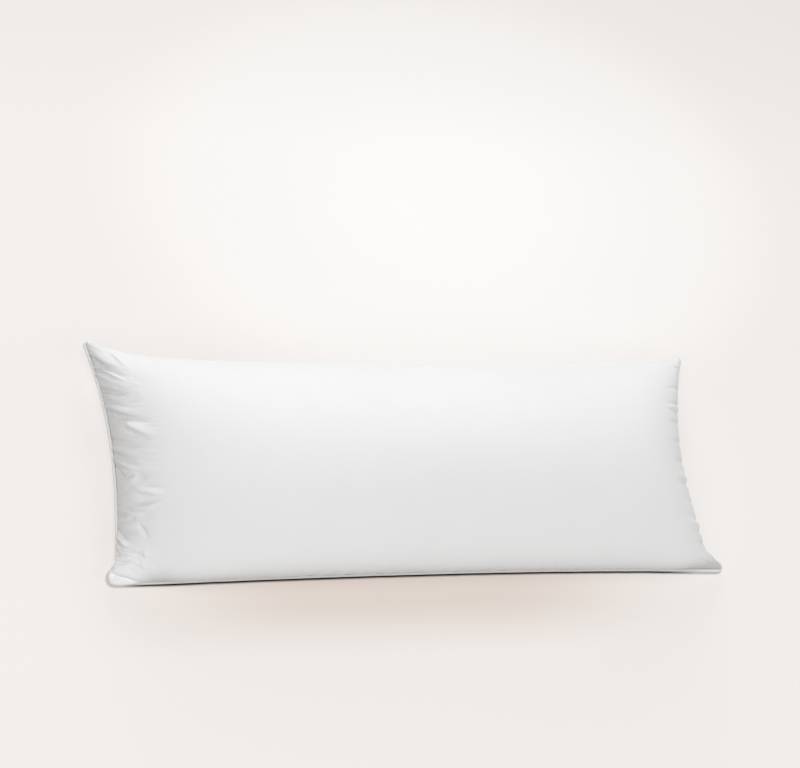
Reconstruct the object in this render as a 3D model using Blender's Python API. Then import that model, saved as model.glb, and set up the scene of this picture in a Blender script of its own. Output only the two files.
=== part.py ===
# Lumbar pillow insert, lying on its back panel.
#
# A long white cotton insert: a front and a back panel sewn face to face round their edge with a thin
# self-fabric piping in the seam, and filled plump. The filled cushion is one solid, the piping is a closed
# ring just outside its rim.
#
# Frame: metres, +X along the cushion, +Y across it, +Z up out of the front panel. Z = 0 is the surface that the
# cushion lies on, and the origin is under the middle of its outline.

import math

import bmesh
import bpy
import numpy as np
from mathutils import Matrix, Vector

for old in list(bpy.data.objects):
    bpy.data.objects.remove(old, do_unlink=True)

# ------------------------------------------------------------------------------------------------ sizes
MM = 0.001

CROWN = 109 * MM            # how far the front panel swells above the seam in the middle
CROWN_LEAN = -0.07          # the fullest line lies this share of the half width towards the lower side
RIM = 1.6 * MM              # thickness of the seam allowance at the very edge
GAP = 0.3 * MM              # clear distance between rim and piping
PIPING = 5.4 * MM           # piping diameter
PIPING_SIDES = 8
CORNER_SOFTNESS = 4.2 * MM  # how far the sewn corners are rounded off

LIE_FLAT = 0.42             # share of the underside's rise that is pressed flat on the surface
UNDER_ROUND = 1.25          # how the underside leaves the surface, 1 is a straight slope

CELLS_ALONG = 60            # faces along the cushion, on each side of the seam
CELLS_ACROSS = 26
EDGE_CROWDING = 0.62        # 0 spaces the faces evenly, 1 crowds them towards the seam

# The seam's corners, seen from above: where each lies, and how high the seam is there (mm).
CORNERS = {
    #                 x      y     z
    "upper_left":  (-456.5, 163.5, 31.0),
    "upper_right": (441.5, 162.5, 33.0),
    "lower_right": (453.0, -155.0, 4.6),
    "lower_left":  (-425.0, -156.0, 4.6),
}

# The four sewn edges. draw_in is how far the filling pulls the edge in from the straight line between its
# corners, deepest_at where along the edge that is, and seam_z the seam's height there (mm). first and second say
# how suddenly the pull sets in from the edge's first and second corner: 2 is a plain bow, 5 comes on close to it.
EDGES = (
    # edge     from           to             draw_in deepest_at first second seam_z
    ("upper", "upper_left",  "upper_right", 35.4,   0.45,      5.2,  3.0,   45.0),
    ("right", "upper_right", "lower_right", 44.5,   0.53,      2.1,  1.65,  36.0),
    ("lower", "lower_right", "lower_left",  6.8,    0.42,      2.0,  2.0,   4.6),
    ("left",  "lower_left",  "upper_left",  15.6,   0.53,      2.0,  2.0,   30.0),
)

# The two lower corners stick out past the end edge as flat ears: reach beyond the edge, and how far from the
# corner, along the edge, the ear is at full reach and where it is gone (mm).
EARS = (
    # corner         reach  full_to  gone_at
    ("lower_right", 23.0,   0.0,     25.0),
    ("lower_left",  9.5,    12.0,    22.0),
)

# How steeply the front panel leaves the seam on each side: height = (1 - |s|^spread)^steepness, where s runs
# from 0 on the middle line to 1 on the seam.
WALLS = {
    #         spread steepness
    "left":  (4.0,   0.60),
    "right": (5.0,   0.48),
    "lower": (2.25,  0.52),
    "upper": (2.15,  0.47),
}

# The filling sags over the lower seam, so the front panel bulges out past it: how far (mm), at which share of the
# way up the panel it is most, and the share of the cushion's length over which it fades at each end.
LOW_BULGE = (17.6, 0.045, 0.12)

# The lower-left corner is tucked under the filling. Two soft folds leave it as a lobe of its own: the pocket
# runs into the notch of the left edge, the crease from the ear down to the lower edge (mm).
TUCKS = (
    # fold     x0      y0      x1      y1      x2      y2      depth width
    ("pocket", -431.0, -131.0, -412.0, -130.0, -394.0, -135.0, 8.0,  6.5),
    ("crease", -434.0, -143.0, -402.0, -150.5, -373.0, -157.5, 7.0,  6.0),
)

CLOTH_COLOUR = (0.80, 0.80, 0.79, 1.0)
PIPING_COLOUR = (0.82, 0.82, 0.81, 1.0)


# ------------------------------------------------------------------------------------------------ outline
def smooth(t):
    t = min(max(t, 0.0), 1.0)
    return t * t * (3.0 - 2.0 * t)


def edge_point(row, t):
    """A point of one sewn edge before its corners are rounded, t from 0 to 1."""
    name, start, end, draw_in, deepest_at, first, second, seam_z = row
    a, b = np.array(CORNERS[start]), np.array(CORNERS[end])
    length = math.hypot(b[0] - a[0], b[1] - a[1])
    inward = np.array([(b[1] - a[1]) / length, -(b[0] - a[0]) / length])
    s = t ** (math.log(0.5) / math.log(deepest_at))
    pull = 1.0 - abs(2.0 * s - 1.0) ** (first if s < 0.5 else second)
    p = a + (b - a) * t
    p[:2] += inward * draw_in * pull
    p[2] += (seam_z - 0.5 * (a[2] + b[2])) * pull
    if name in ("left", "right"):
        for corner, reach, full_to, gone_at in EARS:
            if corner == start:
                away = t * length
            elif corner == end:
                away = (1.0 - t) * length
            else:
                continue
            p[:2] -= inward * reach * (1.0 - smooth((away - full_to) / (gone_at - full_to)))
    elif name == "lower":
        for corner, reach, full_to, gone_at in EARS:
            near = 1.0 - t if corner == end else t
            out = -1.0 if corner == end else 1.0
            p[0] += out * reach * (1.0 - smooth(near * length / 60.0))
    return p * MM


def closed_outline(samples_per_edge=400):
    """The whole seam as a dense closed line with softly rounded corners, and where each corner is on it."""
    raw = []
    for row in EDGES:
        raw += [edge_point(row, i / samples_per_edge) for i in range(samples_per_edge)]
    raw = np.array(raw)
    # even spacing
    loop = np.vstack([raw, raw[:1]])
    run = np.concatenate([[0.0], np.cumsum(np.linalg.norm(np.diff(loop, axis=0), axis=1))])
    corner_run = run[[0, samples_per_edge, 2 * samples_per_edge, 3 * samples_per_edge]]
    total = run[-1]
    count = 2400
    even = np.arange(count) * total / count
    line = np.stack([np.interp(even, run, loop[:, k]) for k in range(3)], axis=1)
    # rounding: a short weighted average along the line
    step = total / count
    reach = int(math.ceil(3.0 * CORNER_SOFTNESS / step))
    weights = np.exp(-0.5 * (np.arange(-reach, reach + 1) * step / CORNER_SOFTNESS) ** 2)
    weights /= weights.sum()
    line = sum(w * np.roll(line, -k, axis=0) for k, w in zip(range(-reach, reach + 1), weights))
    return line, corner_run / total


OUTLINE, CORNER_AT = closed_outline()


def seam_point(share):
    """The seam at a share of its whole length, counted from the upper-left corner towards the upper-right."""
    n = len(OUTLINE)
    f = (share % 1.0) * n
    i = int(f) % n
    return OUTLINE[i] * (1.0 - (f - int(f))) + OUTLINE[(i + 1) % n] * (f - int(f))


def spaced(k, cells):
    """Face borders from 0 to 1, crowded towards both ends."""
    s = 2.0 * k / cells - 1.0
    s = (1.0 - EDGE_CROWDING) * s + EDGE_CROWDING * math.sin(0.5 * math.pi * s)
    return 0.5 + 0.5 * s


def side(name, f):
    """A point of one edge. Upper and lower run left to right, left and right run lower to upper."""
    a, b, c, d = CORNER_AT
    if name == "upper":
        return seam_point(a + (b - a) * f)
    if name == "right":
        return seam_point(c + (b - c) * f)
    if name == "lower":
        return seam_point(d + (c - d) * f)
    return seam_point(d + (1.0 - d) * f)


def inside(f, g):
    """The seam's plane inside the outline: f along from left to right, g across from lower to upper."""
    low, up, left, right = side("lower", f), side("upper", f), side("left", g), side("right", g)
    ll, lr, ul, ur = side("lower", 0.0), side("lower", 1.0), side("upper", 0.0), side("upper", 1.0)
    return ((1 - g) * low + g * up + (1 - f) * left + f * right
            - (1 - f) * (1 - g) * ll - f * (1 - g) * lr - (1 - f) * g * ul - f * g * ur)


# ------------------------------------------------------------------------------------------------ cushion
def wall(s, negative, positive):
    spread, steepness = WALLS[positive] if s > 0 else WALLS[negative]
    return max(1.0 - abs(s) ** spread, 0.0) ** steepness


def swell(f, g):
    """Share of the full crown at a place on the front panel."""
    along, across = 2.0 * f - 1.0, 2.0 * g - 1.0
    across = across + -CROWN_LEAN * (1.0 - across * across)
    return wall(along, "left", "right") * wall(across, "lower", "upper")


def tucked(x, y):
    """How deep the folds of the tucked corner are at a place seen from above."""
    deepest = 0.0
    for name, x0, y0, x1, y1, x2, y2, depth, width in TUCKS:
        for step in range(25):
            t = step / 24
            px = (x0 * (1 - t) ** 2 + x1 * 2 * t * (1 - t) + x2 * t * t) * MM
            py = (y0 * (1 - t) ** 2 + y1 * 2 * t * (1 - t) + y2 * t * t) * MM
            away = math.hypot(x - px, y - py) / (width * MM)
            deepest = max(deepest, depth * MM * (1.0 - 0.6 * t) * math.exp(-away * away))
    return deepest


def front(f, g):
    p = inside(f, g)
    rise = CROWN * swell(f, g)
    rise = max(rise - tucked(p[0], p[1]), 0.35 * rise)
    reach, most, fade = LOW_BULGE
    share = g / most
    out = reach * MM * share * math.exp(1.0 - share) * smooth(min(f, 1.0 - f) / fade)
    return (p[0], p[1] - out, p[2] + 0.5 * RIM + rise)


def back(f, g):
    p = inside(f, g)
    low = 1.0 - swell(f, g)
    rise = max(low - LIE_FLAT, 0.0) / (1.0 - LIE_FLAT)
    return (p[0], p[1], (p[2] - 0.5 * RIM) * rise ** UNDER_ROUND)


def material(name, colour, roughness):
    m = bpy.data.materials.new(name)
    m.use_nodes = True
    shader = m.node_tree.nodes["Principled BSDF"]
    shader.inputs["Base Color"].default_value = colour
    shader.inputs["Roughness"].default_value = roughness
    shader.inputs["Metallic"].default_value = 0.0
    m.diffuse_color = colour
    return m


def new_object(name, bm, mat):
    bmesh.ops.recalc_face_normals(bm, faces=bm.faces)
    mesh = bpy.data.meshes.new(name)
    bm.to_mesh(mesh)
    bm.free()
    mesh.materials.append(mat)
    mesh.shade_smooth()
    obj = bpy.data.objects.new(name, mesh)
    bpy.context.scene.collection.objects.link(obj)
    return obj


def make_cushion():
    bm = bmesh.new()
    nu, nv = CELLS_ALONG, CELLS_ACROSS
    grids = []
    for shape in (front, back):
        grids.append([[bm.verts.new(shape(spaced(i, nu), spaced(j, nv))) for j in range(nv + 1)]
                      for i in range(nu + 1)])
    for turned, grid in enumerate(grids):
        for i in range(nu):
            for j in range(nv):
                quad = [grid[i][j], grid[i + 1][j], grid[i + 1][j + 1], grid[i][j + 1]]
                bm.faces.new(quad[::-1] if turned else quad)
    ring = ([(i, 0) for i in range(nu)] + [(nu, j) for j in range(nv)]
            + [(i, nv) for i in range(nu, 0, -1)] + [(0, j) for j in range(nv, 0, -1)])
    for (i, j), (k, m) in zip(ring, ring[1:] + ring[:1]):
        bm.faces.new((grids[0][i][j], grids[1][i][j], grids[1][k][m], grids[0][k][m]))
    # the part pressed on the surface is one flat face
    flat = [face for face in bm.faces if all(abs(v.co.z) < 1e-9 for v in face.verts)]
    bmesh.ops.dissolve_faces(bm, faces=flat, use_verts=True)
    return new_object("pillow_body", bm, material("cotton_percale", CLOTH_COLOUR, 0.86))


# ------------------------------------------------------------------------------------------------ piping
def make_piping():
    bm = bmesh.new()
    nu, nv = CELLS_ALONG, CELLS_ACROSS
    stations = ([side("lower", spaced(i, nu)) for i in range(nu)]
                + [side("right", spaced(j, nv)) for j in range(nv)]
                + [side("upper", spaced(i, nu)) for i in range(nu, 0, -1)]
                + [side("left", spaced(j, nv)) for j in range(nv, 0, -1)])
    radius = 0.5 * PIPING
    flat = radius * math.cos(math.pi / PIPING_SIDES)
    rings = []
    count = len(stations)
    for k in range(count):
        before, here, after = stations[k - 1], stations[k], stations[(k + 1) % count]
        d1 = (here - before)[:2] / np.linalg.norm((here - before)[:2])
        d2 = (after - here)[:2] / np.linalg.norm((after - here)[:2])
        n1, n2 = np.array([d1[1], -d1[0]]), np.array([d2[1], -d2[0]])
        out = n1 + n2
        out /= np.linalg.norm(out)
        miter = 1.0 / max(out.dot(n1), 0.5)
        ring = []
        for s in range(PIPING_SIDES):
            angle = (s + 0.5) * 2.0 * math.pi / PIPING_SIDES
            away = (GAP + flat + radius * math.cos(angle)) * miter
            ring.append(bm.verts.new((here[0] + out[0] * away, here[1] + out[1] * away,
                                      here[2] + radius * math.sin(angle))))
        rings.append(ring)
    for k in range(count):
        a, b = rings[k], rings[(k + 1) % count]
        for s in range(PIPING_SIDES):
            n = (s + 1) % PIPING_SIDES
            bm.faces.new((a[s], b[s], b[n], a[n]))
    return new_object("piping", bm, material("cotton_piping", PIPING_COLOUR, 0.82))


cushion, piping = make_cushion(), make_piping()

# the origin goes under the middle of the outline
corners = [v.co for obj in (cushion, piping) for v in obj.data.vertices]
middle = Vector((0.5 * (min(c.x for c in corners) + max(c.x for c in corners)),
                 0.5 * (min(c.y for c in corners) + max(c.y for c in corners)), 0.0))
for obj in (cushion, piping):
    obj.data.transform(Matrix.Translation(-middle))
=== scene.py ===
# Looks of the lumbar pillow insert: the simulated cotton shell, its piping, the materials, light and camera.

import math

import bmesh
import bpy
import numpy as np
from mathutils import Matrix, Vector


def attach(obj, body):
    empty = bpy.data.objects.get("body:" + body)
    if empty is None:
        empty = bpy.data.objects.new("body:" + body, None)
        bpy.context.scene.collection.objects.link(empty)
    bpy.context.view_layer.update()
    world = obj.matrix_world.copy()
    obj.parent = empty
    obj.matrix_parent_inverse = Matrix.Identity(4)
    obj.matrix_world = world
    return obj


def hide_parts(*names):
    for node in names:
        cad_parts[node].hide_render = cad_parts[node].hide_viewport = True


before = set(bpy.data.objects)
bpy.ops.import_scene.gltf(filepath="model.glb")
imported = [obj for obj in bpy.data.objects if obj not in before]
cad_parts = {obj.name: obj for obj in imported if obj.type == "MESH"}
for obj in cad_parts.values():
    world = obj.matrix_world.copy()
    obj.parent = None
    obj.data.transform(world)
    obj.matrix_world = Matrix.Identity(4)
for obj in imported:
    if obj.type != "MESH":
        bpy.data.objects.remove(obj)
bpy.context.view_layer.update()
MM = 0.001

# ------------------------------------------------------------------------------------------------ sizes
# The seam line, as in the CAD (mm)
CROWN = 109 * MM
CROWN_LEAN = -0.07
RIM = 1.6 * MM
PIPING = 5.4 * MM
CORNER_SOFTNESS = 4.2 * MM
LIE_FLAT = 0.42
UNDER_ROUND = 1.25

CORNERS = {
    #                 x      y     z
    "upper_left":  (-456.5, 163.5, 31.0),
    "upper_right": (441.5, 162.5, 33.0),
    "lower_right": (453.0, -155.0, 4.6),
    "lower_left":  (-425.0, -158.0, 4.6),
}
EDGES = (
    # edge     from           to             draw_in deepest_at first second seam_z
    ("upper", "upper_left",  "upper_right", 35.4,   0.45,      5.2,  3.0,   45.0),
    ("right", "upper_right", "lower_right", 44.5,   0.53,      2.1,  1.65,  36.0),
    ("lower", "lower_right", "lower_left",  6.8,    0.42,      2.0,  2.0,   4.6),
    ("left",  "lower_left",  "upper_left",  15.6,   0.53,      2.0,  2.0,   30.0),
)
EARS = (
    # corner         reach  full_to  gone_at
    ("lower_right", 23.0,   0.0,     25.0),
    ("lower_left",  9.5,    12.0,    22.0),
)
LOW_CORNER_LIFT = (2.6, 60.0, 70.0)    # mm up at the lower-left corner; gone so far along the left and lower edge
WALLS = {
    #         spread steepness
    "left":  (4.0,   0.60),
    "right": (5.0,   0.48),
    "lower": (2.25,  0.52),
    "upper": (2.15,  0.47),
}

# Face size along and across the cushion: share of the way over the cloth, size (mm). The underside has faces
# twice as large.
CELLS_ALONG = ((0.0, 1.05), (0.07, 1.25), (0.12, 2.2), (0.22, 6.0), (0.78, 6.0), (0.88, 2.6), (1.0, 1.7))
CELLS_ACROSS = ((0.0, 1.3), (0.12, 1.5), (0.5, 1.75), (0.88, 1.7), (1.0, 1.6))

# The wall above the lower seam bulges out over it: how far (mm), and at which share of the way up it is most
LOW_BULGE = (15.6, 0.045)

# All round, the filled panel swells out over the sewn seam a little: how far, and how high above the seam (mm)
LIP = (1.8, 3.6)

# At the lower-left corner the cloth rolls out over the seam: how far, how high above it and how far along (mm)
FOOT = (5.2, 5.0, 34.0)

PANEL = (0.914, 0.356)      # one panel as cut, seam to seam


# ------------------------------------------------------------------------------------------------ value noise
def soft_noise(x, y, size, seed):
    """Smooth value noise of about -1 to 1, with features of one size."""
    rng = np.random.default_rng(seed)
    table = rng.uniform(-1.0, 1.0, (64, 64))
    u, v = x / size + 1000.0, y / size + 1000.0
    i, j = np.floor(u).astype(int), np.floor(v).astype(int)
    a, b = u - i, v - j
    a, b = a * a * a * (a * (6 * a - 15) + 10), b * b * b * (b * (6 * b - 15) + 10)
    at = lambda p, q: table[p % 64, q % 64]
    return ((at(i, j) * (1 - a) + at(i + 1, j) * a) * (1 - b)
            + (at(i, j + 1) * (1 - a) + at(i + 1, j + 1) * a) * b)


# ------------------------------------------------------------------------------------------------ outline
def smooth(t):
    t = np.clip(t, 0.0, 1.0)
    return t * t * (3.0 - 2.0 * t)


def edge_point(row, t):
    name, start, end, draw_in, deepest_at, first, second, seam_z = row
    a, b = np.array(CORNERS[start]), np.array(CORNERS[end])
    length = math.hypot(b[0] - a[0], b[1] - a[1])
    inward = np.array([(b[1] - a[1]) / length, -(b[0] - a[0]) / length])
    s = t ** (math.log(0.5) / math.log(deepest_at))
    pull = 1.0 - abs(2.0 * s - 1.0) ** (first if s < 0.5 else second)
    p = a + (b - a) * t
    p[:2] += inward * draw_in * pull
    p[2] += (seam_z - 0.5 * (a[2] + b[2])) * pull
    lift, along_left, along_lower = LOW_CORNER_LIFT
    if start == "lower_left":
        p[2] += lift * (1.0 - smooth(t * length / along_left))
    elif end == "lower_left":
        p[2] += lift * (1.0 - smooth((1.0 - t) * length / along_lower))
    if name in ("left", "right"):
        for corner, reach, full_to, gone_at in EARS:
            if corner == start:
                away = t * length
            elif corner == end:
                away = (1.0 - t) * length
            else:
                continue
            p[:2] -= inward * reach * (1.0 - smooth((away - full_to) / (gone_at - full_to)))
    elif name == "lower":
        for corner, reach, full_to, gone_at in EARS:
            near = 1.0 - t if corner == end else t
            out = -1.0 if corner == end else 1.0
            p[0] += out * reach * (1.0 - smooth(near * length / 60.0))
    return p * MM


def closed_outline(samples_per_edge=400):
    raw = []
    for row in EDGES:
        raw += [edge_point(row, i / samples_per_edge) for i in range(samples_per_edge)]
    raw = np.array(raw)
    loop = np.vstack([raw, raw[:1]])
    run = np.concatenate([[0.0], np.cumsum(np.linalg.norm(np.diff(loop, axis=0), axis=1))])
    corner_run = run[[0, samples_per_edge, 2 * samples_per_edge, 3 * samples_per_edge]]
    total = run[-1]
    count = 2400
    even = np.arange(count) * total / count
    line = np.stack([np.interp(even, run, loop[:, k]) for k in range(3)], axis=1)
    step = total / count
    reach = int(math.ceil(3.0 * CORNER_SOFTNESS / step))
    weights = np.exp(-0.5 * (np.arange(-reach, reach + 1) * step / CORNER_SOFTNESS) ** 2)
    weights /= weights.sum()
    line = sum(w * np.roll(line, -k, axis=0) for k, w in zip(range(-reach, reach + 1), weights))
    return line, corner_run / total


OUTLINE, CORNER_AT = closed_outline()
SHIFT = np.array([-10.414, -2.830, 0.0]) * MM      # the frame has its origin under the middle of the outline
OUTLINE = OUTLINE + SHIFT


def seam_points(share):
    """The seam at shares of its whole length, from the upper-left corner towards the upper-right."""
    n = len(OUTLINE)
    f = (np.asarray(share, float) % 1.0) * n
    i = f.astype(int) % n
    w = (f - f.astype(int))[..., None]
    return OUTLINE[i] * (1.0 - w) + OUTLINE[(i + 1) % n] * w


def side(name, f):
    a, b, c, d = CORNER_AT
    f = np.asarray(f, float)
    start, end = {"upper": (a, b), "right": (c, b), "lower": (d, c), "left": (d, 1.0)}[name]
    return seam_points(start + (end - start) * f)


def wall(s, negative, positive):
    out = np.empty_like(s)
    for key, pick in ((negative, s <= 0), (positive, s > 0)):
        spread, steepness = WALLS[key]
        out[pick] = np.maximum(1.0 - np.abs(s[pick]) ** spread, 0.0) ** steepness
    return out


def lean(across):
    return across - CROWN_LEAN * (1.0 - across * across)


def spaced(table, profile, length_mm):
    """Face borders from 0 to 1, whose spacing over the swollen panel follows the table."""
    t = 0.5 - 0.5 * np.cos(np.linspace(0.0, math.pi, 16001))
    over = np.concatenate([[0.0], np.cumsum(np.hypot(np.diff(t) * length_mm, np.diff(profile(t)) * CROWN / MM))])
    size = np.interp(over / over[-1], [r[0] for r in table], [r[1] for r in table])
    run = np.concatenate([[0.0], np.cumsum(np.diff(over) * 0.5 * (1 / size[1:] + 1 / size[:-1]))])
    cells = int(round(run[-1] / 2)) * 2
    return np.interp(np.arange(cells + 1) / cells * run[-1], run, t)


F = spaced(CELLS_ALONG, lambda t: wall(2.0 * t - 1.0, "left", "right"), 900.0)
G = spaced(CELLS_ACROSS, lambda t: wall(lean(2.0 * t - 1.0), "lower", "upper"), 335.0)
NU, NV = len(F) - 1, len(G) - 1


def plane_points():
    f, g = F[:, None, None], G[None, :, None]
    low_, up, left, right = (side("lower", F)[:, None], side("upper", F)[:, None],
                             side("left", G)[None], side("right", G)[None])
    ll, lr, ul, ur = (side("lower", 0.0), side("lower", 1.0), side("upper", 0.0), side("upper", 1.0))
    return ((1 - g) * low_ + g * up + (1 - f) * left + f * right
            - (1 - f) * (1 - g) * ll - f * (1 - g) * lr - (1 - f) * g * ul - f * g * ur)


# ------------------------------------------------------------------------------------------------ smooth form
def swell():
    along = (2.0 * F - 1.0)[:, None] * np.ones((1, NV + 1))
    across = (2.0 * G - 1.0)[None, :] * np.ones((NU + 1, 1))
    return wall(along, "left", "right") * wall(lean(across), "lower", "upper")


PLANE = plane_points()
SWELL = swell()


def from_edges():
    """Distance from the left, right, lower and upper edge, in plan."""
    away = [PLANE - PLANE[:1], PLANE - PLANE[-1:], PLANE - PLANE[:, :1], PLANE - PLANE[:, -1:]]
    return [np.linalg.norm(d[..., :2], axis=2) for d in away]


def smooth_front():
    p = PLANE.copy()
    rise = CROWN * SWELL
    p[..., 2] += 0.5 * RIM + rise
    reach, most = LOW_BULGE
    share = G / most
    bulge = share * np.exp(1.0 - share)
    ends = smooth(np.minimum(F, 1.0 - F) / 0.12)
    p[..., 1] -= reach * MM * ends[:, None] * bulge[None, :]
    # the lip over the seam, a little uneven along it as the stitches pull
    reach, height = LIP
    near = [np.exp(-d / (7.0 * MM)) for d in from_edges()]
    out = np.stack([near[1] - near[0], near[3] - near[2]], axis=-1)
    out /= np.maximum(np.linalg.norm(out, axis=-1, keepdims=True), 1e-9)
    pulled = 1.0 + 0.2 * soft_noise(PLANE[..., 0], PLANE[..., 1], 0.014, 41)
    share = rise / (height * MM)
    p[..., :2] += out * (reach * MM * pulled * share * np.exp(1.0 - share))[..., None]
    reach, height, along = FOOT
    share = rise / (height * MM)
    from_corner = np.linalg.norm((PLANE - PLANE[0, 0])[..., :2], axis=2)
    foot = share * np.exp(1.0 - share) * (1.0 - smooth(from_corner / (2.0 * along * MM)))
    p[..., :2] += out * (reach * MM * foot)[..., None]
    return p


def smooth_back():
    p = PLANE[::2, ::2].copy()
    rise = np.maximum(1.0 - SWELL[::2, ::2] - LIE_FLAT, 0.0) / (1.0 - LIE_FLAT)
    p[..., 2] = (p[..., 2] - 0.5 * RIM) * rise ** UNDER_ROUND
    return p


def normals_of(x):
    du, dv = np.empty_like(x), np.empty_like(x)
    du[1:-1], du[0], du[-1] = x[2:] - x[:-2], x[1] - x[0], x[-1] - x[-2]
    dv[:, 1:-1], dv[:, 0], dv[:, -1] = x[:, 2:] - x[:, :-2], x[:, 1] - x[:, 0], x[:, -1] - x[:, -2]
    n = np.cross(du, dv)
    return n / np.maximum(np.linalg.norm(n, axis=2, keepdims=True), 1e-12)


# ------------------------------------------------------------------------------------------------ creases
# Creases of the front at the left end, where the seam gathers the cloth. Each runs through its places: distance
# from the left seam over the cloth (mm) and share of the way from the lower to the upper seam (%). A ridge has a
# height above 0 and a valley one below 0. width is how far its flanks reach; a ridge's lower flank is the steeper.
CREASES = (
    # crease           height width places
    ("corner_valley_1",   -1.6, 2.6, ((2, 96.0), (10, 94.3), (16, 93.0), (25, 92.1))),
    ("corner_valley_2",   -2.4, 3.0, ((2, 93.2), (7, 92.1), (14, 90.6), (22, 88.5), (32, 86.1), (43, 84.4), (54, 82.9), (66, 80.8))),
    ("corner_ridge_1",     2.2, 3.4, ((2, 95.3), (11, 93.6), (24, 91.1), (37, 88.7), (49, 86.3), (62, 83.8))),
    ("corner_facet",       1.3, 3.0, ((31, 95.9), (39, 95.0), (48, 91.9), (57, 88.6), (64, 85.9))),
    ("corner_valley_3",   -2.4, 2.6, ((2, 87.3), (7, 87.2), (19, 86.9), (29, 87.0))),
    ("corner_valley_4",   -2.2, 2.6, ((2, 87.4), (12, 86.1), (25, 84.4), (37, 82.4), (48, 81.3))),
    ("corner_ridge_4",     2.2, 2.8, ((2, 88.3), (17, 86.4), (31, 84.6), (42, 82.9), (54, 80.9), (65, 79.8))),
    ("corner_ridge_5",     1.3, 2.4, ((2, 85.9), (10, 84.6), (22, 82.7), (32, 81.4))),
    ("top_valley_1",      -1.3, 3.0, ((2, 89.4), (18, 87.3), (28, 86.0), (43, 84.1), (55, 82.1), (63, 80.6))),
    ("top_ridge_1",        1.5, 3.0, ((2, 87.2), (17, 85.5), (33, 83.7), (46, 82.0), (53, 80.7))),
    ("top_ridge_2",        2.2, 6.0, ((2, 85.7), (19, 83.2), (32, 80.9), (48, 78.7), (58, 77.4))),
    ("top_valley_3",      -2.4, 4.0, ((2, 79.3), (12, 78.2), (28, 76.4), (43, 75.5), (55, 75.3))),
    ("ridge_3",            1.6, 4.0, ((2, 77.1), (15, 75.4), (27, 73.8), (41, 73.0))),
    ("valley_4",          -1.6, 5.0, ((2, 74.0), (14, 72.9), (33, 71.1), (48, 69.7), (63, 69.1))),
    ("ridge_4",            2.2, 5.0, ((2, 72.4), (16, 70.7), (34, 68.5), (49, 66.8), (64, 65.6), (75, 64.6))),
    ("valley_5",          -2.2, 4.5, ((2, 69.3), (13, 68.0), (32, 65.8), (51, 65.0), (66, 63.8), (78, 62.8))),
    ("ridge_7",            3.2, 4.0, ((22, 65.4), (37, 63.1), (45, 61.9), (53, 60.5), (63, 58.8), (74, 57.2), (82, 56.2))),
    ("valley_6",          -2.4, 4.5, ((28, 61.0), (41, 59.0), (50, 57.6), (62, 56.5), (77, 55.6))),
    ("ridge_8",            1.8, 4.0, ((30, 58.5), (41, 56.5), (52, 55.4), (68, 54.5))),
    ("valley_7",          -2.0, 5.5, ((2, 57.9), (13, 56.7), (32, 54.6), (53, 53.3), (68, 52.6))),
    ("ridge_9",            1.3, 5.0, ((2, 54.4), (17, 52.8), (36, 50.8), (58, 49.9))),
    ("valley_8",          -2.2, 4.0, ((2, 52.3), (12, 50.7), (27, 48.3), (37, 46.7), (49, 45.1), (62, 43.4))),
    ("ridge_11",           2.6, 3.5, ((2, 50.2), (8, 49.3), (22, 47.1), (33, 45.2), (42, 44.3), (52, 43.4), (60, 41.6))),
    ("valley_9a",         -1.8, 2.5, ((2, 47.4), (11, 45.1), (23, 42.0), (31, 42.7), (40, 42.8))),
    ("valley_9b",         -1.8, 5.0, ((40, 42.2), (54, 40.5), (68, 39.0))),
    ("ridge_12",           1.5, 3.5, ((30, 38.9), (42, 39.7), (52, 39.8))),
    ("valley_10",         -1.6, 4.0, ((37, 38.4), (49, 37.6), (64, 36.6), (77, 35.7), (90, 34.8))),
    ("ridge_13",           2.6, 4.5, ((33, 37.6), (48, 35.4), (63, 34.2), (76, 33.3), (93, 32.7))),
    ("ridge_14",           1.4, 3.5, ((25, 32.3), (42, 32.4), (54, 32.4))),
    ("valley_12",         -2.0, 4.5, ((24, 31.1), (41, 30.7), (55, 30.8), (69, 31.0), (84, 30.9))),
    ("ridge_15",           2.8, 4.0, ((27, 27.5), (41, 27.7), (53, 28.1), (67, 28.7), (84, 29.3))),
    ("valley_13",         -2.0, 3.5, ((35, 26.8), (45, 26.2), (56, 25.7), (72, 26.3))),
    ("valley_14",         -2.2, 3.5, ((40, 23.4), (45, 21.0), (51, 18.2), (56, 15.9))),
    ("valley_seam_a",     -1.5, 2.5, ((4, 28.3), (20, 26.5), (30, 26.6))),
    ("valley_15",         -1.8, 3.5, ((3, 22.0), (13, 19.5), (22, 17.1), (32, 14.9))),
    ("ridge_18",           2.6, 3.5, ((2, 19.9), (11, 17.7), (18, 15.8), (24, 14.0), (34, 12.6))),
    ("valley_16",         -2.2, 3.0, ((4, 16.8), (11, 14.8), (19, 13.2), (29, 12.3), (39, 11.4), (46, 9.6))),
    ("ridge_19",           2.6, 3.0, ((4, 15.7), (12, 13.5), (21, 12.2), (30, 11.2), (37, 10.2), (43, 8.6))),
    ("ridge_20",           1.4, 4.0, ((42, 12.5), (50, 10.7), (60, 10.8))),
    ("valley_17",         -2.4, 3.0, ((3, 13.7), (10, 11.7), (20, 10.5))),
    ("ridge_21",           1.8, 3.0, ((6, 10.5), (18, 9.4), (30, 9.5), (39, 8.5))),
    ("valley_18",         -3.0, 3.0, ((4, 7.7), (15, 8.1), (25, 8.3), (36, 8.0))),
    ("lobe_rim",           2.4, 4.0, ((4, 5.6), (8, 6.6), (18, 6.6), (27, 7.0), (40, 6.3))),
    ("lobe_crease",       -3.2, 3.0, ((3, 4.6), (11, 4.0), (20, 3.0), (29, 2.3), (35, 1.6), (45, 0.7), (58, 0.1))),
    ("lobe_streak",       -1.0, 2.5, ((29, 5.5), (38, 4.8), (46, 4.2))),
)
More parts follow.
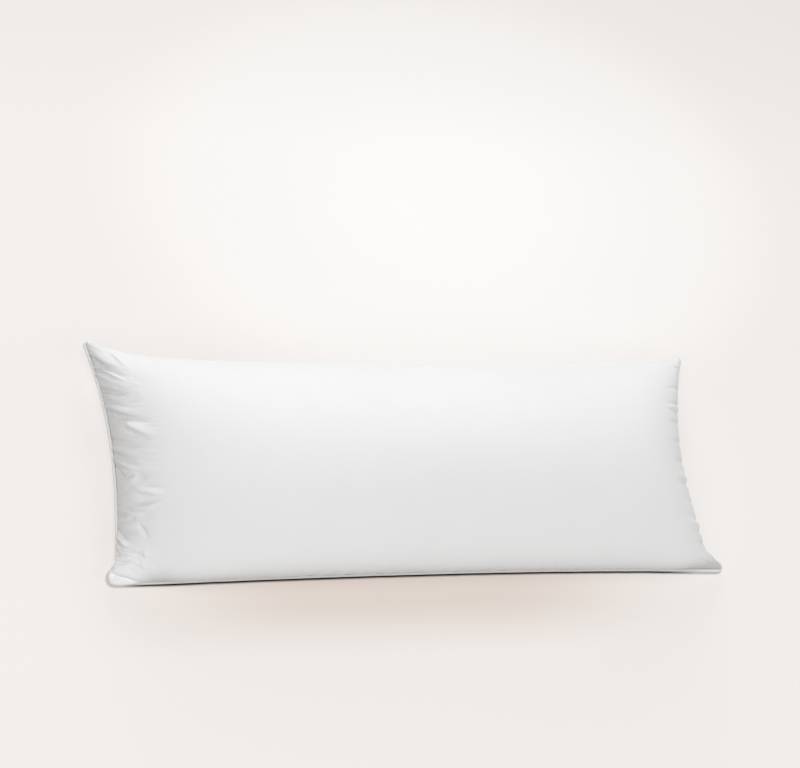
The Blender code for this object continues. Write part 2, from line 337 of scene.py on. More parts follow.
# The same at the right end, with distances from the right seam
RIGHT_CREASES = (
    # crease           height width places
    ("puckers_r1",        -2.2, 2.6, ((3, 73.4), (60, 73.4), (81, 72.4), (100, 72.3))),
    ("puckers_r2",        -2.0, 2.2, ((3, 69.7), (58, 69.7), (74, 69.3), (92, 69.5))),
    ("ridge_r1",           1.6, 3.0, ((3, 71.6), (56, 71.6), (76, 70.9), (93, 70.7))),
    ("puckers_r3",        -1.8, 2.6, ((3, 64.8), (58, 64.8), (76, 64.2), (91, 64.0))),
    ("puckers_r4",        -2.2, 2.8, ((3, 56.2), (64, 56.2), (81, 55.7), (99, 55.4))),
    ("puckers_r5",        -2.0, 2.4, ((3, 47.9), (68, 47.9), (83, 47.7), (101, 47.6))),
    ("puckers_r6",        -2.6, 3.2, ((3, 38.8), (74, 38.8), (90, 38.9), (108, 39.0))),
    ("ridge_r6",           1.8, 3.0, ((3, 41.2), (69, 41.2), (84, 41.0), (101, 40.8))),
    ("puckers_r7",        -1.8, 2.4, ((3, 31.4), (70, 31.4), (83, 31.7), (99, 32.1))),
    ("puckers_r8",        -2.6, 3.2, ((3, 24.3), (68, 24.3), (80, 24.7), (92, 25.6))),
    ("puckers_r9",        -2.6, 3.0, ((3, 19.2), (58, 19.2), (70, 19.7), (83, 20.6))),
    ("ridge_r9",           2.0, 3.0, ((3, 21.8), (57, 21.8), (71, 21.9), (87, 22.5))),
    ("puckers_r10",       -2.2, 3.0, ((3, 14.7), (44, 14.7), (58, 14.7), (74, 15.2))),
    ("ear_r1",            -2.4, 2.6, ((3, 2.4), (23, 2.4), (38, 5.5), (46, 8.7), (56, 11.3))),
    ("ear_r2",            -2.6, 3.0, ((14, 0.9), (31, 1.9), (52, 4.8), (69, 7.6))),
    ("ear_ridge",          2.2, 3.2, ((14, 1.3), (31, 3.0), (47, 6.0), (61, 8.9))),
    ("ear_fold",          -5.0, 2.4, ((5, 11.5), (12, 7.5), (19, 4.0), (27, 1.2))),
    ("puckers_r0",        -1.6, 3.0, ((3, 92.2), (40, 92.2), (60, 90.7), (79, 89.3))),
    ("puckers_r01",       -1.8, 2.6, ((3, 81.1), (49, 81.1), (76, 80.3), (96, 80.0))),
)
# Between them are small creases, many and short, each leaning about as its neighbours do. They're drawn at random:
# how many, start from the left seam (mm), length (mm), height (mm) and width (mm), each from least to most
SMALL = (190, (4.0, 62.0), (9.0, 36.0), (0.7, 2.1), (1.5, 3.0))
STEEP = 0.6         # a ridge's lower flank is this much narrower than its width, and its upper one wider
RELIEF = (1.85, 0.7) # at the left and the right end, creases are this many times as deep as the tables say


def path_over(form, arc, places, samples=8):
    """A smooth line through places of a crease, as points on the form. arc is how far over the cloth each place
    of the form is from the end that the crease is measured from."""
    p = np.array(places, float)
    p[:, 1] *= 3.4          # a percent of the way across is about 3.4 mm
    ends = np.vstack([2 * p[0] - p[1], p, 2 * p[-1] - p[-2]])
    line = []
    for k in range(len(p) - 1):
        a, b, c, d = ends[k:k + 4]
        for t in np.arange(samples) / samples:
            line.append(0.5 * (2 * b + (c - a) * t + (2 * a - 5 * b + 4 * c - d) * t * t
                               + (3 * b - 3 * c + d - a) * t ** 3))
    line = np.array(line + [p[-1]])
    out = []
    for s, g in line:
        g = np.clip(g / 340.0, 0.0, 1.0)
        j = min(int(np.searchsorted(G, g, "right")) - 1, NV - 1)
        w = (g - G[j]) / (G[j + 1] - G[j])
        run = arc[:, j] * (1 - w) + arc[:, j + 1] * w
        f = np.interp(s * MM, run, F) if run[-1] > run[0] else np.interp(s * MM, run[::-1], F[::-1])
        i = min(int(np.searchsorted(F, f, "right")) - 1, NU - 1)
        v = (f - F[i]) / (F[i + 1] - F[i])
        out.append((form[i, j] * (1 - v) + form[i + 1, j] * v) * (1 - w)
                   + (form[i, j + 1] * (1 - v) + form[i + 1, j + 1] * v) * w)
    return np.array(out)


def small_creases():
    rng = np.random.default_rng(77)
    count, starts, lengths, heights, widths = SMALL
    rows = []
    for k in range(count):
        share = rng.uniform(2.0, 97.0)
        start = starts[0] + (starts[1] - starts[0]) * rng.uniform() ** 1.3
        size = rng.uniform() ** 1.6
        length = lengths[0] + (lengths[1] - lengths[0]) * (0.6 * size + 0.4 * rng.uniform())
        lean_ = math.radians(np.interp(share / 100.0, [r[0] for r in LEFT_END], [r[3] for r in LEFT_END])
                             + rng.normal(0.0, 14.0))
        bend = math.radians(rng.normal(0.0, 16.0))
        places = [(start, share)]
        for part in range(4):
            turn = lean_ + bend * (part / 3.0 - 0.5)
            s, g = places[-1]
            places.append((s + length / 4.0 * math.cos(turn), min(max(g + length / 4.0 * math.sin(turn) / 3.4, 1.0), 99.0)))
        fade = 1.0 - 0.6 * smooth((start - 20.0) / 40.0)
        height = (heights[0] + (heights[1] - heights[0]) * size) * fade * (1.0 if rng.uniform() < 0.4 else -1.0)
        rows.append(("small_%d" % k, height, rng.uniform(*widths), tuple(places)))
    return tuple(rows)


def crease_heights(form):
    """How far each point of the form is pushed out by the creases, in metres."""
    step = np.linalg.norm(np.diff(form, axis=0), axis=2)
    from_left = np.vstack([np.zeros((1, form.shape[1])), np.cumsum(step, axis=0)])
    from_right = from_left[-1:] - from_left
    normal = normals_of(form).reshape(-1, 3)
    points = form.reshape(-1, 3)
    up, down = np.zeros(len(points)), np.zeros(len(points))
    for arc, creases, relief in ((from_left, CREASES, RELIEF[0]), (from_left, small_creases(), 1.0),
                                 (from_right, RIGHT_CREASES, RELIEF[1])):
        for name, height, width, places in creases:
            height *= relief
            line = path_over(form, arc, places)
            reach = 4.0 * width * MM
            near = np.where(((points > line.min(0) - reach) & (points < line.max(0) + reach)).all(1))[0]
            d = points[near, None, :] - line[None]
            k = (d * d).sum(2).argmin(1)
            tangent = np.gradient(line, axis=0)
            tangent /= np.linalg.norm(tangent, axis=1, keepdims=True)
            d = d[np.arange(len(near)), k]
            t = tangent[k]
            along = (d * t).sum(1)
            off = (d * np.cross(normal[near], t)).sum(1) * (1.0 if arc is from_left else -1.0)
            over = np.where((k == 0) | (k == len(line) - 1), np.abs(along), 0.0)
            run = k / (len(line) - 1)
            start = 0.9 if places[0][0] < 9.0 else 0.0
            strength = smooth(run / 0.40 + start) * smooth((1.0 - run) / 0.55)
            if height > 0.0:
                w = np.where(off < 0.0, STEEP, 1.0 / STEEP) * width * MM
                shape = np.exp(-(np.hypot(off, over) / w) ** 1.5)
                up[near] = np.maximum(up[near], height * MM * strength * shape) + 0.35 * np.minimum(
                    up[near], height * MM * strength * shape)
            else:
                shape = np.exp(-(np.hypot(off, over) / (width * MM)) ** 1.3)
                deep = -height * MM * strength * shape
                down[near] = np.maximum(down[near], deep) + 0.35 * np.minimum(down[near], deep)
    # they start further from the seam on the roll at the lower-left corner
    roll = 1.0 - smooth(np.linalg.norm((PLANE - PLANE[0, 0])[..., :2], axis=2) / (44.0 * MM))
    starts = (9.0 + 9.0 * roll) * MM
    return (up - down).reshape(form.shape[:2]) * smooth(np.minimum(from_left, from_right) / starts)


# ------------------------------------------------------------------------------------------------ cloth
# Where the shell has more cloth than the filled shape needs, it wrinkles. strain is the surplus at the seam,
# along it, fades_over how far into the panel it reaches (mm), and turn how far the creases lean from straight
# inward, in degrees (positive leans to +Y). Places run along the left end from the lower to the upper corner.
LEFT_END = (
    # place strain fades_over turn
    (0.00,  0.025, 30.0,     10.0),
    (0.10,  0.03,  35.0,    -34.0),
    (0.25,  0.035, 42.0,     10.0),
    (0.40,  0.04,  50.0,     -4.0),
    (0.60,  0.04,  44.0,    -20.0),
    (0.80,  0.04,  36.0,    -26.0),
    (0.93,  0.03,  32.0,    -30.0),
    (1.00,  0.02,  28.0,    -36.0),
)
OTHER_SEAMS = (
    # edge    strain fades_over
    ("right", 0.030, 26.0),
    ("upper", 0.006, 16.0),
    ("lower", 0.012, 16.0),
)


def surplus(front):
    """Surplus of cloth at each place, and the direction across the creases, as its parts along and across."""
    x, y = PLANE[..., 0], PLANE[..., 1]
    f = F[:, None] * np.ones((1, NV + 1))
    g = G[None, :] * np.ones((NU + 1, 1))
    to_left = np.linalg.norm(PLANE - PLANE[:1], axis=2)
    to_right = np.linalg.norm(PLANE - PLANE[-1:], axis=2)
    to_low = np.linalg.norm(PLANE - PLANE[:, :1], axis=2)
    to_up = np.linalg.norm(PLANE - PLANE[:, -1:], axis=2)
    place = [r[0] for r in LEFT_END]
    left_strain = np.interp(g, place, [r[1] for r in LEFT_END])
    left_reach = np.interp(g, place, [r[2] for r in LEFT_END]) * MM
    turn = np.radians(np.interp(g, place, [r[3] for r in LEFT_END]))
    uneven = 1.0 + 0.35 * soft_noise(y * 1.0, x * 0.3, 0.031, 11 if front else 12)
    e_left = left_strain * np.exp(-(to_left / (left_reach * uneven)) ** 1.6) * uneven
    strains = {row[0]: row[1] for row in OTHER_SEAMS}
    fades = {row[0]: row[2] * MM for row in OTHER_SEAMS}
    uneven = 1.0 + 0.5 * soft_noise(x, y, 0.045, 13 if front else 14)
    e_right = strains["right"] * np.exp(-(to_right / (fades["right"] * uneven)) ** 1.5) * uneven
    e_low = strains["lower"] * np.exp(-(to_low / (fades["lower"] * uneven)) ** 1.5) * uneven
    e_up = strains["upper"] * np.exp(-(to_up / (fades["upper"] * uneven)) ** 1.5) * uneven
    # surplus as a symmetric tensor in the sheet: along-along, across-across, along-across
    c, s = np.cos(turn), np.sin(turn)
    aa = e_left * s * s + e_low + e_up
    bb = e_left * c * c + e_right
    ab = -e_left * s * c
    return aa, bb, ab


def relax(target, tensor, freedom, frames, sweeps, seed, push, floor=None):
    """Cloth over filling. The sheet keeps its own lengths: those of the target form plus the surplus. The filling
    is a soft bed in that form, which holds against being pressed in more than it holds the cloth down."""
    plain = target
    x = target.copy()
    n0 = normals_of(plain)
    aa, bb, ab = tensor
    amount = np.sqrt(np.maximum(aa + bb, 0.0))
    px, py = plain[..., 0], plain[..., 1]
    kick = (soft_noise(px, py, 0.017, seed) + soft_noise(px, py, 0.041, seed + 1)) * 1.0 * MM
    x += n0 * (kick * np.minimum(amount / 0.25, 1.0))[..., None]
    edge = np.zeros(x.shape[:2], bool)
    edge[0] = edge[-1] = True
    edge[:, 0] = edge[:, -1] = True
    x[edge] = target[edge]
    free = (~edge).astype(float)

    def spring(di, dj):
        i0, i1 = (0, x.shape[0] - di)
        j0, j1 = (0, x.shape[1] - dj) if dj >= 0 else (-dj, x.shape[1])
        a = (slice(i0, i1), slice(j0, j1))
        b = (slice(i0 + di, i1 + di), slice(j0 + dj, j1 + dj))
        d = plain[b] - plain[a]
        length = np.linalg.norm(d, axis=2)
        # direction of the spring in the sheet
        step_i = np.linalg.norm(plain[np.minimum(np.arange(i0, i1) + 1, x.shape[0] - 1)][:, j0:j1]
                                - plain[a], axis=2) if di else 0.0
        step_j = np.linalg.norm(plain[a[0], np.clip(np.arange(j0, j1) + (1 if dj >= 0 else -1), 0,
                                                    x.shape[1] - 1)] - plain[a], axis=2) if dj else 0.0
        u = (np.sign(di) * abs(di)) * step_i if di else np.zeros_like(length)
        v = dj * step_j if dj else np.zeros_like(length)
        m = np.maximum(np.hypot(u, v), 1e-12)
        u, v = u / m, v / m
        pick = lambda t: 0.5 * (t[a] + t[b])
        e = pick(aa) * u * u + pick(bb) * v * v + 2.0 * pick(ab) * u * v
        return a, b, length * (1.0 + e)

    kinds = [(1, 0, 1.0), (0, 1, 1.0), (1, 1, 0.45), (1, -1, 0.45), (2, 0, 0.16), (0, 2, 0.16), (4, 0, 0.03), (0, 4, 0.03)]
    groups = []
    for di, dj, stiff in kinds:
        a, b, rest = spring(di, dj)
        i = np.arange(a[0].start, a[0].stop)
        j = np.arange(a[1].start, a[1].stop)
        lead, count = (i, di) if di else (j, abs(dj))
        for half in (0, 1):
            mask = ((lead // count) % 2) == half
            if di:
                ia, ja = np.meshgrid(i[mask], j, indexing="ij")
            else:
                ia, ja = np.meshgrid(i, j[mask], indexing="ij")
            ra = rest[ia - a[0].start, ja - a[1].start]
            ib, jb = ia + di, ja + dj
            fa, fb = (ia * x.shape[1] + ja).ravel(), (ib * x.shape[1] + jb).ravel()
            wa, wb = free.ravel()[fa], free.ravel()[fb]
            keep = (wa + wb) > 0
            groups.append((fa[keep], fb[keep], ra.ravel()[keep], (wa / np.maximum(wa + wb, 1))[keep] * stiff,
                           (wb / np.maximum(wa + wb, 1))[keep] * stiff))
    flat = x.reshape(-1, 3)
    goal = target.reshape(-1, 3)
    move = free.ravel()[:, None]
    speed = np.zeros_like(flat)
    for frame_no in range(frames):
        n = normals_of(x).reshape(-1, 3)
        away = ((flat - goal) * n0.reshape(-1, 3)).sum(1, keepdims=True)
        hold = np.where(away < 0.0, 0.055, 0.016)
        before = flat.copy()
        flat += move * (0.88 * speed + (goal - flat) * hold + n * push)
        for _ in range(sweeps):
            for fa, fb, rest, wa, wb in groups:
                d = flat[fb] - flat[fa]
                length = np.sqrt((d * d).sum(1))
                pull = ((length - rest) / np.maximum(length, 1e-9))[:, None] * d
                flat[fa] += pull * wa[:, None]
                flat[fb] -= pull * wb[:, None]
        # never further from the filled form than the cap
        off = flat - goal
        size = np.linalg.norm(off, axis=1, keepdims=True)
        flat[:] = goal + off * np.minimum(1.0, freedom.reshape(-1, 1) / np.maximum(size, 1e-9))
        if floor is not None:
            flat[:, 2] = np.maximum(flat[:, 2], floor)
        speed = flat - before
    return x


def shell():
    front, back = smooth_front(), smooth_back()
    front = front + normals_of(front) * crease_heights(front)[..., None]
    tensor = surplus(True)
    total = tensor[0] + tensor[1]
    freedom = 1.2 * MM + 3.5 * MM * np.minimum(total / 0.08, 1.0)
    front = relax(front, tensor, freedom, 40, 4, 21, 0.02 * MM)
    # the underside, pressed flat by the filling's weight, keeps only a third of it
    tensor = tuple(0.33 * t[::2, ::2] for t in surplus(False))
    back = relax(back, tensor, freedom[::2, ::2] * 0.7, 30, 3, 31, 0.0, 0.0)
    flat = smooth_back()[..., 2] <= 1e-9
    back[flat, 2] = 0.0
    return front, back


# ------------------------------------------------------------------------------------------------ meshes
def on_panel(form):
    """Where each point of one side lies on the flat panel, in metres from its middle."""
    def share(axis):
        step = np.linalg.norm(np.diff(form, axis=axis), axis=2)
        run = np.cumsum(step, axis=axis)
        run = np.concatenate([np.zeros_like(np.take(run, [0], axis)), run], axis=axis)
        return run / np.take(run, [-1], axis) - 0.5
    return np.stack([share(0) * PANEL[0], share(1) * PANEL[1]], axis=-1)


def keep(mesh, name, values):
    layer = mesh.attributes.new(name, "FLOAT", "POINT")
    layer.data.foreach_set("value", np.asarray(values, np.float32))


def build_shell(front, back):
    nu, nv = NU + 1, NV + 1
    top = front.reshape(-1, 3)
    ring = ([(p, 0) for p in range(NU)] + [(NU, q) for q in range(NV)]
            + [(p, NV) for p in range(NU, 0, -1)] + [(0, q) for q in range(NV, 0, -1)])
    # the underside's rim has every point of the top's; inside it, every second one
    rim = {pq: len(top) + k for k, pq in enumerate(ring)}
    rim_points = PLANE[[p for p, q in ring], [q for p, q in ring]] - np.array([0.0, 0.0, 0.5 * RIM])
    inner = {}
    for p in range(2, NU, 2):
        for q in range(2, NV, 2):
            inner[(p, q)] = len(top) + len(ring) + len(inner)
    inner_points = back[1:-1, 1:-1].reshape(-1, 3)
    verts = np.vstack([top, rim_points, inner_points])
    under = {**rim, **inner}
    a = (np.arange(NU)[:, None] * nv + np.arange(NV)[None, :]).ravel()
    faces = np.stack([a, a + nv, a + nv + 1, a + 1], axis=1).tolist()
    for p in range(0, NU, 2):
        for q in range(0, NV, 2):
            walk = [(p, q), (p, q + 1), (p, q + 2), (p + 1, q + 2), (p + 2, q + 2), (p + 2, q + 1), (p + 2, q),
                    (p + 1, q)]
            faces.append([under[w] for w in walk if w in under])
    ids = [p * nv + q for p, q in ring]
    low_ids = [rim[w] for w in ring]
    faces += [[ids[k], low_ids[k], low_ids[(k + 1) % len(ring)], ids[(k + 1) % len(ring)]] for k in range(len(ring))]
    mesh = bpy.data.meshes.new("pillow_shell")
    mesh.from_pydata(verts.tolist(), [], faces)
    mesh.update()
    # cloth coordinates in metres on the panels as cut, so the weave follows the cloth
    uv = np.zeros((len(verts), 2))
    flat_front, flat_back = on_panel(smooth_front()), on_panel(smooth_back())
    uv[:len(top)] = flat_front.reshape(-1, 2)
    for (p, q), k in under.items():
        a, b = min(p // 2, NU // 2 - 1), min(q // 2, NV // 2 - 1)
        c, d = 0.5 * p - a, 0.5 * q - b
        uv[k] = (flat_back[a, b] * (1 - c) * (1 - d) + flat_back[a + 1, b] * c * (1 - d)
                 + flat_back[a, b + 1] * (1 - c) * d + flat_back[a + 1, b + 1] * c * d)
    to_end, to_side = 0.5 * PANEL[0] - np.abs(uv[:, 0]), 0.5 * PANEL[1] - np.abs(uv[:, 1])
    # distance from the seam over the cloth, for the painted seam shade
    keep(mesh, "from_seam", np.minimum(to_end, to_side))
    # painted shade and light: the cloth is painted darker where it turns under, along the lower seam and at the left
    # end, and painted lighter on the roll at the lower-left corner
    low = np.where(uv[:, 1] < 0.0, 1.0 - smooth(to_side / 0.050), 0.0)
    left = np.where(uv[:, 0] < 0.0, 1.0 - smooth(to_end / 0.050), 0.0)
    corner = 1.0 - smooth((np.hypot(verts[:, 0] - PLANE[0, 0, 0], verts[:, 1] - PLANE[0, 0, 1]) - 0.020) / 0.050)
    keep(mesh, "painted_shading", (1.0 - 0.30 * low * (1.0 - corner)) * (1.0 - 0.10 * left * (1.0 - corner)) * (1.0 + 0.07 * corner))
    uv[len(top):, 0] += 1.1
    layer = mesh.uv_layers.new(name="cloth")
    loops = np.empty(len(mesh.loops), np.int32)
    mesh.loops.foreach_get("vertex_index", loops)
    layer.uv.foreach_set("vector", uv[loops].astype(np.float32).ravel())
    mesh.shade_smooth()
    obj = bpy.data.objects.new("pillow_shell", mesh)
    bpy.context.scene.collection.objects.link(obj)
    return obj


def build_piping():
    step = 2.4 * MM
    n = len(OUTLINE)
    length = np.linalg.norm(np.roll(OUTLINE, -1, axis=0) - OUTLINE, axis=1).sum()
    count = int(round(length / step))
    line = seam_points(np.arange(count) / count)
    ahead = np.roll(line, -1, axis=0) - np.roll(line, 1, axis=0)
    out = np.stack([-ahead[:, 1], ahead[:, 0], np.zeros(count)], axis=1)
    out /= np.linalg.norm(out, axis=1, keepdims=True)
    tangent = ahead / np.linalg.norm(ahead, axis=1, keepdims=True)
    up = np.cross(tangent, out)
    up *= np.sign(up[:, 2:3])
    sides = 14
    s = np.arange(count) / count * length
    radius = 0.5 * PIPING * (1.0 + 0.03 * soft_noise(s, s * 0, 0.012, 5) + 0.03 * soft_noise(s, s * 0, 0.05, 6))
    # it's tucked under the roll of cloth at the lower-left corner
    corner = seam_points(CORNER_AT[3])
    tuck = 1.0 - smooth(np.linalg.norm((line - corner)[:, :2], axis=1) / (1.6 * FOOT[2] * MM))
    reach = 0.5 * PIPING - 0.2 * MM - 1.6 * MM * tuck
    line = line - np.array([0.0, 0.0, 3.2 * MM]) * tuck[:, None]
    verts = []
    for k in range(sides):
        angle = 2 * math.pi * k / sides
        verts.append(line + out * (radius * math.cos(angle) + reach)[:, None]
                     + up * (radius * math.sin(angle))[:, None])
    verts = np.stack(verts, axis=1)
    a, b = np.meshgrid(np.arange(count), np.arange(sides), indexing="ij")
    c, d = (a + 1) % count, (b + 1) % sides
    faces = np.stack([a * sides + b, c * sides + b, c * sides + d, a * sides + d], axis=2).reshape(-1, 4)
    mesh = bpy.data.meshes.new("piping_cord")
    mesh.from_pydata(verts.reshape(-1, 3).tolist(), [], faces.tolist())
    bm = bmesh.new()
    bm.from_mesh(mesh)
    bmesh.ops.recalc_face_normals(bm, faces=bm.faces)
    bm.to_mesh(mesh)
    bm.free()
    around = np.arange(sides) / sides * 2 * math.pi
    # how far round the cord from its side against the cloth, for the painted seam shade
    keep(mesh, "from_seam", np.tile(np.abs(around - math.pi) * 0.5 * PIPING, count))
    # no painted shade or light on the cord
    keep(mesh, "painted_shading", np.ones(count * sides))
    uv_of = np.stack([np.repeat(s, sides), np.tile(np.arange(sides) / sides * math.pi * PIPING, count)], axis=1)
    layer = mesh.uv_layers.new(name="cloth")
    loops = np.empty(len(mesh.loops), np.int32)
    mesh.loops.foreach_get("vertex_index", loops)
    layer.uv.foreach_set("vector", uv_of[loops].astype(np.float32).ravel())
    mesh.shade_smooth()
    obj = bpy.data.objects.new("piping_cord", mesh)
    bpy.context.scene.collection.objects.link(obj)
    return obj


# ------------------------------------------------------------------------------------------------ materials
class Nodes:
    def __init__(self, name):
        self.mat = bpy.data.materials.new(name)
        self.mat.use_nodes = True
        self.tree = self.mat.node_tree
        self.shader = self.tree.nodes["Principled BSDF"]

    def add(self, kind, inputs=(), **props):
        node = self.tree.nodes.new(kind)
        for k, v in props.items():
            setattr(node, k, v)
        for k, v in dict(inputs).items():
            if isinstance(v, bpy.types.NodeSocket):
                self.tree.links.new(v, node.inputs[k])
            else:
                node.inputs[k].default_value = v
        return node

    def math(self, op, a, b=0.0, clamp=False):
        return self.add("ShaderNodeMath", {0: a, 1: b}, operation=op, use_clamp=clamp).outputs[0]

    def link(self, socket, name):
        self.tree.links.new(socket, self.shader.inputs[name])


def percale(name, colour, thread, seam_shade, bias=False):
    """Fine plain weave in matt white cotton. thread is the spacing of the threads in metres. seam_shade paints shade
    into the seam groove.
    """
    m = Nodes(name)
    uv = m.add("ShaderNodeUVMap", uv_map="cloth").outputs["UV"]
    place = m.add("ShaderNodeTexCoord").outputs["Object"]
    if bias:
        uv = m.add("ShaderNodeVectorRotate", {"Vector": uv, "Angle": math.radians(45)}, rotation_type="Z_AXIS").outputs[0]
    part = m.add("ShaderNodeSeparateXYZ", {0: uv})
    turn = 2.0 * math.pi / (2.0 * thread)
    warp = m.math("SINE", m.math("MULTIPLY", part.outputs["X"], turn))
    weft = m.math("SINE", m.math("MULTIPLY", part.outputs["Y"], turn))
    weave = m.math("MULTIPLY", warp, weft)
    slub = m.add("ShaderNodeTexNoise", {"Vector": m.add("ShaderNodeMapping", {"Vector": uv, "Scale": (260.0, 4200.0, 1.0)}).outputs[0],
                                        "Scale": 1.0, "Detail": 2.0, "Roughness": 0.5}).outputs["Fac"]
    slub2 = m.add("ShaderNodeTexNoise", {"Vector": m.add("ShaderNodeMapping", {"Vector": uv, "Scale": (4200.0, 260.0, 1.0)}).outputs[0],
                                         "Scale": 1.0, "Detail": 2.0, "Roughness": 0.5}).outputs["Fac"]
    threads = m.math("ADD", m.math("MULTIPLY", weave, 0.30), m.math("MULTIPLY", m.math("ADD", slub, slub2), 0.35))
    rumple = m.add("ShaderNodeTexNoise", {"Vector": uv, "Scale": 95.0, "Detail": 3.0, "Roughness": 0.55}).outputs["Fac"]
    bump = m.add("ShaderNodeBump", {"Height": threads, "Strength": 0.35, "Distance": 0.00012})
    bump2 = m.add("ShaderNodeBump", {"Height": rumple, "Strength": 0.35, "Distance": 0.0006, "Normal": bump.outputs[0]})
    m.link(bump2.outputs[0], "Normal")
    cloudy = m.add("ShaderNodeTexNoise", {"Vector": place, "Scale": 7.0, "Detail": 3.0, "Roughness": 0.5}).outputs["Fac"]
    tone = m.math("ADD", m.math("MULTIPLY", cloudy, 0.6), m.math("MULTIPLY", threads, 0.25), clamp=True)
    ramp = m.add("ShaderNodeValToRGB", {"Fac": tone})
    dark = tuple(c * 0.965 for c in colour)
    ramp.color_ramp.elements[0].position, ramp.color_ramp.elements[0].color = 0.15, (*dark, 1.0)
    ramp.color_ramp.elements[1].position, ramp.color_ramp.elements[1].color = 0.65, (*colour, 1.0)
    # painted shade down in the seam groove, darkest at the seam: from how much, and gone how far away
    least, gone = seam_shade
    seam = m.add("ShaderNodeAttribute", attribute_name="from_seam").outputs["Fac"]
    shade = m.add("ShaderNodeMapRange", {"Value": seam, "From Min": 0.3 * gone, "From Max": gone, "To Min": least, "To Max": 1.0},
                  interpolation_type="SMOOTHSTEP").outputs[0]
    # times the painted shade and light along the shell's lower and left seams and on its corner roll
    shade = m.math("MULTIPLY", shade, m.add("ShaderNodeAttribute", attribute_name="painted_shading").outputs["Fac"])
    colour_ = m.add("ShaderNodeVectorMath", {0: ramp.outputs["Color"], "Scale": shade}, operation="SCALE")
    m.link(colour_.outputs[0], "Base Color")
    rough = m.math("ADD", m.math("MULTIPLY", rumple, 0.12), 0.78)
    m.link(rough, "Roughness")
    m.shader.inputs["Metallic"].default_value = 0.0
    m.shader.inputs["Specular IOR Level"].default_value = 0.25
    m.shader.inputs["Sheen Weight"].default_value = 0.12
    m.shader.inputs["Sheen Roughness"].default_value = 0.45
    return m.mat


def floor_material():
    """Pale warm paper under broad light. Most of its brightness is painted light: it glows of its own, so shadows on it
    stay light. It has a painted pool of light behind the cushion, a painted warm shadow along the lower side, and a
    painted dark contact shadow right where things rest on it."""
    m = Nodes("pale_floor")
    place = m.add("ShaderNodeTexCoord").outputs["Object"]
    at = m.add("ShaderNodeSeparateXYZ", {0: place})
    x, y = at.outputs["X"], at.outputs["Y"]
    # painted pool of light: brightest round a spot behind the cushion, dimmer further out
    moved = m.add("ShaderNodeMapping", {"Vector": place, "Location": (-0.12, -0.42 * 1.5, 0.0), "Scale": (1.0, 1.5, 1.0)})
    away = m.add("ShaderNodeVectorMath", {0: moved.outputs[0]}, operation="LENGTH").outputs["Value"]
    grain = m.add("ShaderNodeTexNoise", {"Vector": place, "Scale": 3.0, "Detail": 2.0}).outputs["Fac"]
    ramp = m.add("ShaderNodeValToRGB", {"Fac": m.math("ADD", away, m.math("MULTIPLY", grain, 0.03), clamp=True)})
    ramp.color_ramp.interpolation = "EASE"
    tones = ((0.10, (0.735, 0.715, 0.698)), (0.40, (0.700, 0.678, 0.660)), (0.62, (0.652, 0.616, 0.592)))
    ramp.color_ramp.elements.new(0.5)
    for element, (where, tone) in zip(ramp.color_ramp.elements, tones):
        element.position, element.color = where, (*tone, 1.0)
    # painted shade: darker far behind
    far = m.add("ShaderNodeMapRange", {"Value": y, "From Min": 0.50, "From Max": 0.80, "To Min": 1.0, "To Max": 0.91})
    # painted shadow: a darker, warm band in front of the lower side
    below = m.add("ShaderNodeMapRange", {"Value": y, "From Min": -0.275, "From Max": -0.185, "To Min": 0.0, "To Max": 1.0},
                  interpolation_type="SMOOTHSTEP")
    aside = m.math("ABSOLUTE", m.math("ADD", x, 0.03))
    within = m.add("ShaderNodeMapRange", {"Value": aside, "From Min": 0.12, "From Max": 0.50, "To Min": 1.0, "To Max": 0.0},
                   interpolation_type="SMOOTHSTEP")
    behind = m.add("ShaderNodeMapRange", {"Value": y, "From Min": -0.12, "From Max": 0.0, "To Min": 1.0, "To Max": 0.0},
                   interpolation_type="SMOOTHSTEP")
    band = m.math("MULTIPLY", m.math("MULTIPLY", below.outputs[0], within.outputs[0]), behind.outputs[0])
    painted_shadow = m.add("ShaderNodeMix", {0: band, 6: (1.0, 1.0, 1.0, 1.0), 7: (0.80, 0.715, 0.655, 1.0)}, data_type="RGBA")
    glow = m.add("ShaderNodeVectorMath", {0: ramp.outputs["Color"], 1: painted_shadow.outputs[2]}, operation="MULTIPLY")
    glow = m.add("ShaderNodeVectorMath", {0: glow.outputs[0], "Scale": far.outputs[0]}, operation="SCALE")
    # painted contact shadow: the floor is painted darker where the cushion is close by, from ambient occlusion
    painted_contact_shadow = m.add("ShaderNodeAmbientOcclusion", {"Distance": 0.0060}, samples=32, only_local=False).outputs["AO"]
    painted_contact_shadow = m.add("ShaderNodeMapRange", {"Value": painted_contact_shadow, "From Min": 0.62, "From Max": 0.93, "To Min": 0.0, "To Max": 1.0},
                  interpolation_type="SMOOTHSTEP").outputs[0]
    # the right-hand ear and the outer end of the lower-left roll only just rest on the ground, so the painted contact
    # shadow is lighter there
    for start, end, least in ((0.375, 0.425, 0.6), (-0.398, -0.428, 0.7)):
        least = m.add("ShaderNodeMapRange", {"Value": x, "From Min": start, "From Max": end, "To Min": 0.0, "To Max": least})
        painted_contact_shadow = m.math("MAXIMUM", painted_contact_shadow, least.outputs[0])
    glow = m.add("ShaderNodeVectorMath", {0: glow.outputs[0], "Scale": painted_contact_shadow}, operation="SCALE")
    base = m.add("ShaderNodeVectorMath", {0: (0.22, 0.22, 0.22), "Scale": painted_contact_shadow}, operation="SCALE")
    m.link(base.outputs[0], "Base Color")
    # the floor's painted light is its own glow
    m.link(glow.outputs[0], "Emission Color")
    m.shader.inputs["Emission Strength"].default_value = 1.0
    m.shader.inputs["Roughness"].default_value = 0.9
    m.shader.inputs["Specular IOR Level"].default_value = 0.1
    return m.mat


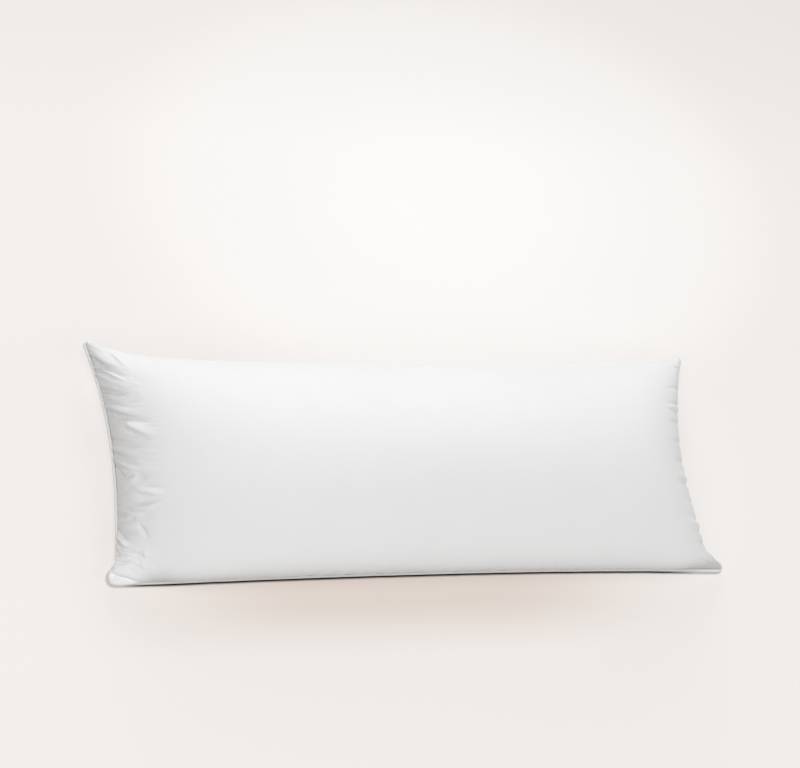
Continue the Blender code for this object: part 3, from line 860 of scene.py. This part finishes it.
# ------------------------------------------------------------------------------------------------ build
front, back = shell()
body = build_shell(front, back)
body.data.materials.append(percale("white_percale", (0.80, 0.80, 0.80), 0.00032, (0.55, 0.0035)))
piping = build_piping()
piping.data.materials.append(percale("white_piping", (0.82, 0.82, 0.815), 0.00032, (0.34, 0.0054), bias=True))

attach(body, "root")
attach(piping, "root")
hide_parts("pillow_body")
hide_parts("piping")

# ------------------------------------------------------------------------------------------------ stage
bpy.ops.mesh.primitive_plane_add(size=14.0, location=(0.0, 0.0, -0.0002))
floor = bpy.context.object
floor.name = "floor"
floor.data.materials.append(floor_material())

world = bpy.data.worlds.new("studio")
world.use_nodes = True
world.node_tree.nodes["Background"].inputs["Color"].default_value = (1.0, 0.99, 0.98, 1.0)
world.node_tree.nodes["Background"].inputs["Strength"].default_value = 0.0
bpy.context.scene.world = world

# Round softboxes, all 3 m from the cushion and 1.6 m across
SOFTBOXES = (
    # round  up  watts
    (0.0,   20.0, 17.4),
    (90.0,  20.0, 59.7),
    (180.0, 70.0, 47.6),
    (225.0, 45.0, 18.6),
    (270.0, 20.0, 6.5),
    (315.0, 45.0, 22.5),
)
for number, (azimuth, elevation, watts) in enumerate(SOFTBOXES):
    azimuth, elevation = math.radians(azimuth), math.radians(elevation)
    away = Vector((math.cos(elevation) * math.cos(azimuth), math.cos(elevation) * math.sin(azimuth),
                   math.sin(elevation)))
    data = bpy.data.lights.new("softbox_%d" % (number + 1), "AREA")
    data.shape = "DISK"
    data.size = 1.6
    data.energy = watts
    light = bpy.data.objects.new(data.name, data)
    bpy.context.scene.collection.objects.link(light)
    light.location = away * 3.0
    light.rotation_euler = (-away).to_track_quat("-Z", "Y").to_euler()

# ------------------------------------------------------------------------------------------------ camera
# The view is 22 degrees round to the cushion's left end and 18 degrees down its lower side from face on.
YAW, PITCH, ROLL = math.radians(22.19), math.radians(18.0), math.radians(-6.03)
DISTANCE, FOCUS_PX = 2.663, 1889.0
TARGET = np.array([-0.0133, 0.1127, 0.035]) + SHIFT
backward = np.array([-math.sin(YAW) * math.cos(PITCH), -math.sin(PITCH), math.cos(YAW) * math.cos(PITCH)])
right = np.cross(-backward, [0.0, 1.0, 0.0])
right /= np.linalg.norm(right)
up = np.cross(right, -backward)
across = right * math.cos(ROLL) + up * math.sin(ROLL)
upward = -right * math.sin(ROLL) + up * math.cos(ROLL)
place = TARGET + backward * DISTANCE
camera = bpy.data.objects.new("camera", bpy.data.cameras.new("camera"))
bpy.context.scene.collection.objects.link(camera)
camera.matrix_world = Matrix([[across[k], upward[k], backward[k], place[k]] for k in range(3)] + [[0, 0, 0, 1]])
camera.data.sensor_width = 36.0
camera.data.lens = FOCUS_PX * 36.0 / 800.0
camera.data.clip_start, camera.data.clip_end = 0.05, 60.0
bpy.context.scene.camera = camera
bpy.context.scene.view_settings.view_transform = "Standard"
